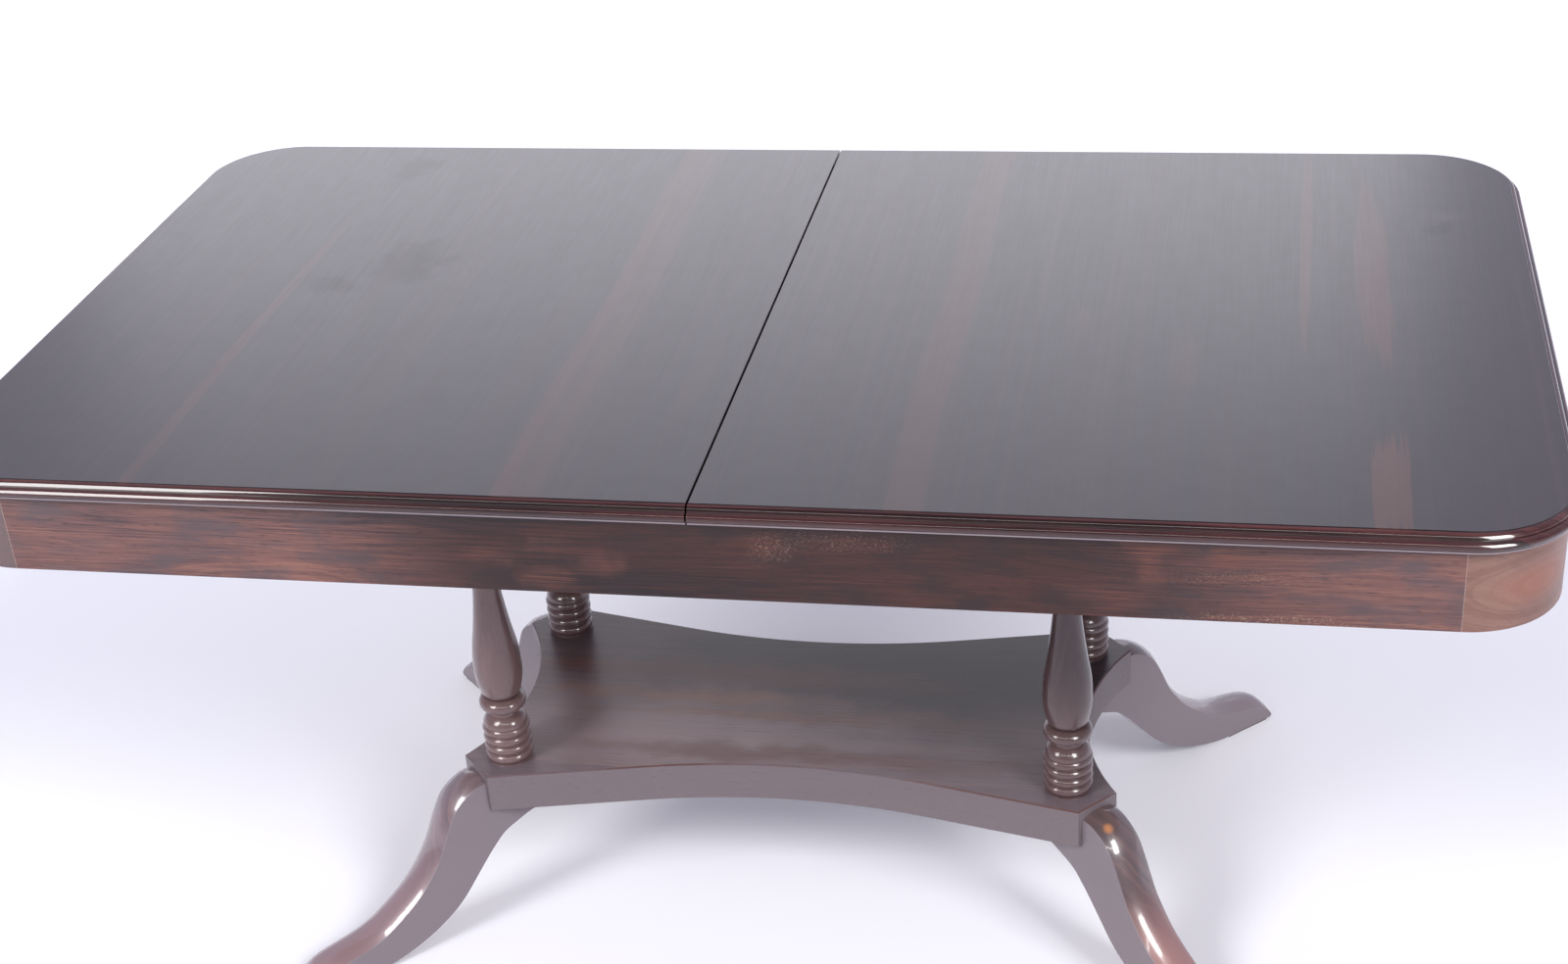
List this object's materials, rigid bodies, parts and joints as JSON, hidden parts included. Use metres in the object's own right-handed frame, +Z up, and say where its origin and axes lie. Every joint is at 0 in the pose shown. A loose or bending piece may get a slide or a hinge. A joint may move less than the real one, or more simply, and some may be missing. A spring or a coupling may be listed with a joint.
{
  "type": "extending dining table",
  "caption": "Extending dining table with rounded corners: a top that parts in the middle, a deep frieze, turned columns, a hollow-sided platform and sabre legs.",
  "frame": {"origin": "on the floor under the middle of the table", "axes": "+X along the table, +Y to its rear, +Z up"},
  "size_m": [1.644, 0.924, 0.75],
  "materials": {
    "rosewood_top": "dark rosewood veneer, satin polish",
    "rosewood_moulding": "dark rosewood, glossy polish",
    "rosewood_frieze": "reddish figured rosewood veneer, satin polish",
    "rosewood_turned": "dark rosewood, glossy polish",
    "rosewood_platform": "dark rosewood veneer, satin polish with a worn edge",
    "rosewood_leg": "rosewood, glossy crowned top and satin sides",
    "frame_wood": "plain planed hardwood, unpolished",
    "dowel_beech": "plain turned beech",
    "screw_steel": "dull steel",
    "catch_brass": "aged brass",
    "felt_pad": "dark felt"
  },
  "bodies": {
    "base": {"base_platform": "rosewood_platform", "leg_front_left": "rosewood_leg", "leg_front_right": "rosewood_leg", "leg_rear_left": "rosewood_leg", "leg_rear_right": "rosewood_leg", "foot_pads": "felt_pad", "column_front_left": "rosewood_turned", "column_front_right": "rosewood_turned", "column_rear_left": "rosewood_turned", "column_rear_right": "rosewood_turned", "leg_screws": "screw_steel", "guide_screws": "screw_steel", "leg_dowels": "dowel_beech", "frieze_dowels": "dowel_beech", "leaf_dowels": "dowel_beech", "cross_bearer_left": "frame_wood", "cross_bearer_right": "frame_wood", "stop_rail": "frame_wood", "corner_braces": "frame_wood", "guide_beam_front": "frame_wood", "guide_beam_rear": "frame_wood", "guide_end_blocks": "frame_wood", "leaf_rests": "frame_wood", "stop_cleats": "frame_wood", "frieze_front_rail": "rosewood_frieze", "frieze_rear_rail": "rosewood_frieze", "frieze_left_rail": "rosewood_frieze", "frieze_right_rail": "rosewood_frieze", "frieze_corner_front_left": "rosewood_frieze", "frieze_corner_front_right": "rosewood_frieze", "frieze_corner_rear_left": "rosewood_frieze", "frieze_corner_rear_right": "rosewood_frieze", "leaf_panel": "rosewood_top", "leaf_mouldings": "rosewood_moulding"},
    "left_half": {"top_panel_left": "rosewood_top", "seam_dowels": "dowel_beech", "runner_left_front": "frame_wood", "runner_left_rear": "frame_wood", "left_stop_blocks": "frame_wood", "left_runner_screws": "screw_steel", "catch_plates": "catch_brass", "moulding_front_left": "rosewood_moulding", "moulding_rear_left": "rosewood_moulding", "moulding_end_left": "rosewood_moulding", "moulding_corner_front_left": "rosewood_moulding", "moulding_corner_rear_left": "rosewood_moulding"},
    "right_half": {"top_panel_right": "rosewood_top", "runner_right_front": "frame_wood", "runner_right_rear": "frame_wood", "right_stop_blocks": "frame_wood", "right_runner_screws": "screw_steel", "catch_keepers": "catch_brass", "moulding_front_right": "rosewood_moulding", "moulding_rear_right": "rosewood_moulding", "moulding_end_right": "rosewood_moulding", "moulding_corner_front_right": "rosewood_moulding", "moulding_corner_rear_right": "rosewood_moulding"},
    "front_catch": {"catch_lever_front": "catch_brass"},
    "rear_catch": {"catch_lever_rear": "catch_brass"}
  },
  "joints": [
    {"name": "left_half_slide", "type": "slide", "parent": "base", "child": "left_half", "axis": [-1, 0, 0], "range_m": [0, 0.25]},
    {"name": "right_half_slide", "type": "slide", "parent": "base", "child": "right_half", "axis": [1, 0, 0], "range_m": [0, 0.25]},
    {"name": "front_catch_swivel", "type": "hinge", "parent": "left_half", "child": "front_catch", "pos_m": [-0.014, -0.386, 0.7255], "axis": [0, 0, 1], "range_deg": [0, 90]},
    {"name": "rear_catch_swivel", "type": "hinge", "parent": "left_half", "child": "rear_catch", "pos_m": [-0.014, 0.386, 0.7255], "axis": [0, 0, -1], "range_deg": [0, 90]}
  ]
}
